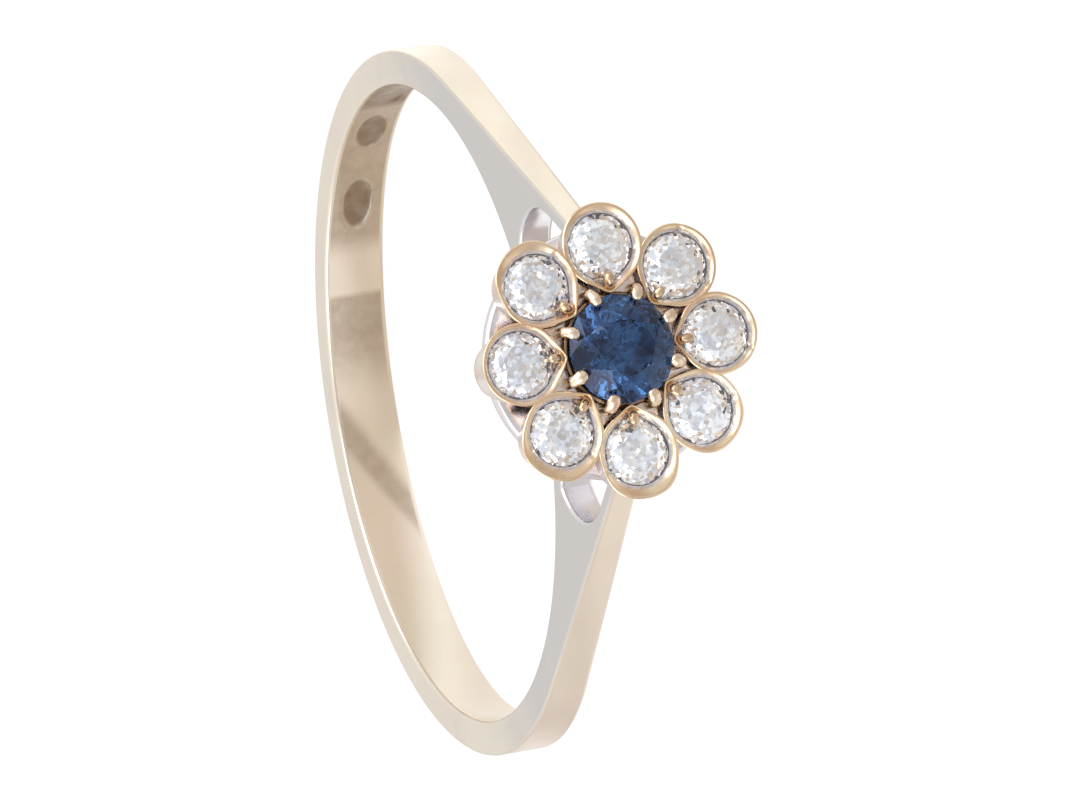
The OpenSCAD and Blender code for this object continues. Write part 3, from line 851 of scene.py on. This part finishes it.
# White paper with a faint grain, evenly white to the camera. The metal sees painted light and
# shade on it instead: painted shade under the ring and in front, painted light where the two
# softboxes would fall. Tones go from below to above the ring in the picture, each a distance from
# the middle in mm and a colour.
paper = {
    "size": 0.6, "below": 2e-5,  # in metres; below keeps it clear of the ring
    "shade": "#F8F8F8", "white": "#FFFFFF", "matt": "#484848", "fibre": 2.0,
    "tones": [(-16, "#DCD6D5"), (-9, "#EBE6E2"), (-2, "#FFFFFF"), (-0.6, "#F4EFE8"),
              (0.1, "#D3C8BE"), (4, "#D6CCC2"), (11, "#FFFEFB")],
    "strength": 1.1, "front": 0.72, "frontFrom": 8, "frontTo": 18,  # dimmer in front, in mm
    "cloud": 5.0,  # size of soft patches of light in mm
    "cloudMap": {"From Min": 0.3, "From Max": 0.7, "To Min": 0.86, "To Max": 1.12},
}
# Sky that is grey at the horizon, brighter overhead and dimmer where the camera would stand, and
# two softboxes, their places and sizes in metres.
studio = {
    "skyMap": {"From Min": 0.0, "From Max": 0.7, "To Min": 0.76, "To Max": 1.0},
    "cameraWay": (0.96, 0.0, 0.28),
    "dimMap": {"From Min": 0.8, "From Max": 0.97, "To Min": 1.0, "To Max": 0.72},
    "key": {"place": (0.05, 0.16, 0.24), "size": 0.28, "power": 0.5},
    "fill": {"place": (0.10, -0.20, 0.18), "size": 0.25, "power": 0.32},
}


def makeFloor():
    # A square sheet of paper, just under the ring.
    half = paper["size"] / 2
    low = -paper["below"]
    mesh = bpy.data.meshes.new("floor")
    corners = [(-half, -half, low), (half, -half, low), (half, half, low), (-half, half, low)]
    mesh.from_pydata(corners, [], [(0, 1, 2, 3)])
    material, tree = newMaterial("white_paper")
    at = addNode(tree, "TexCoord").outputs["Object"]
    # What the camera sees.
    fibre = addNode(tree, "TexNoise", {"Vector": at, "Scale": perMetre / paper["fibre"], "Detail": 4.0})
    sheetColour = addNode(tree, "Mix", {0: fibre.outputs["Fac"], 6: toLinear(paper["shade"]),
        7: toLinear(paper["white"])}, data_type="RGBA")
    matt = addNode(tree, "BsdfDiffuse", {"Color": toLinear(paper["matt"])})
    glow = addNode(tree, "Emission", {"Color": sheetColour.outputs[2], "Strength": 1.0})
    seen = addNode(tree, "AddShader", {0: matt.outputs[0], 1: glow.outputs[0]})
    # What the metal sees: painted light and shade, in tones along Y, dimmer in front, with soft
    # clouds of painted light.
    split = addNode(tree, "SeparateXYZ", {0: at})
    first, last = paper["tones"][0][0], paper["tones"][-1][0]
    level = addNode(tree, "MapRange", {"Value": split.outputs["Y"], "From Min": first / perMetre,
        "From Max": last / perMetre})
    ramp = addNode(tree, "ValToRGB", {0: level.outputs[0]})
    stops = ramp.color_ramp.elements
    stops[1].position = 1.0
    for place, _ in paper["tones"][1:-1]:
        stops.new((place - first) / (last - first))
    for stop, (_, tone) in zip(stops, paper["tones"]):
        stop.color = toLinear(tone)
    front = addNode(tree, "MapRange", {"Value": split.outputs["X"],
        "From Min": paper["frontFrom"] / perMetre, "From Max": paper["frontTo"] / perMetre,
        "To Min": paper["strength"], "To Max": paper["strength"] * paper["front"]})
    cloud = addNode(tree, "TexNoise", {"Vector": at, "Scale": perMetre / paper["cloud"], "Detail": 1.0})
    cloud = addNode(tree, "MapRange", {"Value": cloud.outputs["Fac"], **paper["cloudMap"]})
    lit = addNode(tree, "Math", {0: front.outputs[0], 1: cloud.outputs[0]}, operation="MULTIPLY")
    # Emission of painted light and shade, seen only in reflections.
    paintedFloorLight = addNode(tree, "Emission", {"Color": ramp.outputs[0], "Strength": lit.outputs[0]})
    ray = addNode(tree, "LightPath").outputs["Is Camera Ray"]
    both = addNode(tree, "MixShader", {0: ray, 1: paintedFloorLight.outputs[0], 2: seen.outputs[0]})
    addNode(tree, "OutputMaterial", {"Surface": both.outputs[0]})
    mesh.materials.append(material)
    floor = bpy.data.objects.new("floor", mesh)
    bpy.context.scene.collection.objects.link(floor)


def makeSky():
    # Light by height, times a dimmer round the direction of the camera.
    world = bpy.data.worlds.new("studio")
    bpy.context.scene.world = world
    world.use_nodes = True
    tree = world.node_tree
    tree.nodes.clear()
    way = addNode(tree, "TexCoord").outputs["Generated"]
    split = addNode(tree, "SeparateXYZ", {0: way})
    up = addNode(tree, "MapRange", {"Value": split.outputs["Z"], **studio["skyMap"]})
    towards = addNode(tree, "VectorMath", {0: way, 1: studio["cameraWay"]}, operation="DOT_PRODUCT")
    dim = addNode(tree, "MapRange", {"Value": towards.outputs["Value"], **studio["dimMap"]})
    level = addNode(tree, "Math", {0: up.outputs[0], 1: dim.outputs[0]}, operation="MULTIPLY")
    back = addNode(tree, "Background", {"Color": toLinear("#FFFFFF"), "Strength": level.outputs[0]})
    addNode(tree, "OutputWorld", {"Surface": back.outputs[0]})


def makeLight(name, look):
    # A square softbox that faces the ring.
    light = bpy.data.lights.new(name, "AREA")
    light.shape = "SQUARE"
    light.size = look["size"]
    light.energy = look["power"]
    lamp = bpy.data.objects.new(name, light)
    lamp.location = look["place"]
    lamp.rotation_euler = (-Vector(look["place"])).to_track_quat("-Z", "Y").to_euler()
    bpy.context.scene.collection.objects.link(lamp)


# Where the camera stands, in the ring's frame in mm, its own right and back directions, its lens
# and sensor in mm, and the nearest and farthest that it sees in metres.
view = {
    "at": (161.993, -7.194, 50.964), "right": (0.30088, -0.17477, -0.93768),
    "back": (0.94915, -0.03941, 0.31157), "lens": 214.2, "sensor": 36.0, "clip": (0.01, 5.0),
}


def makeCamera():
    lens = bpy.data.cameras.new("camera")
    lens.lens = view["lens"]
    lens.sensor_width = view["sensor"]
    lens.clip_start, lens.clip_end = view["clip"]
    camera = bpy.data.objects.new("camera", lens)
    back = Vector(toRow(view["back"]) * perMetre - holeAt * perMetre).normalized()
    right = Vector(toRow(view["right"]) * perMetre - holeAt * perMetre)
    right = (right - back * right.dot(back)).normalized()
    turned = Matrix((right, back.cross(right), back)).transposed()
    camera.matrix_world = Matrix.Translation(toRow(view["at"])) @ turned.to_4x4()
    bpy.context.scene.collection.objects.link(camera)
    bpy.context.scene.camera = camera


makeFloor()
makeSky()
makeLight("key_softbox", studio["key"])
makeLight("fill_softbox", studio["fill"])
makeCamera()
bpy.context.scene.view_settings.view_transform = "Standard"
print("studio made")
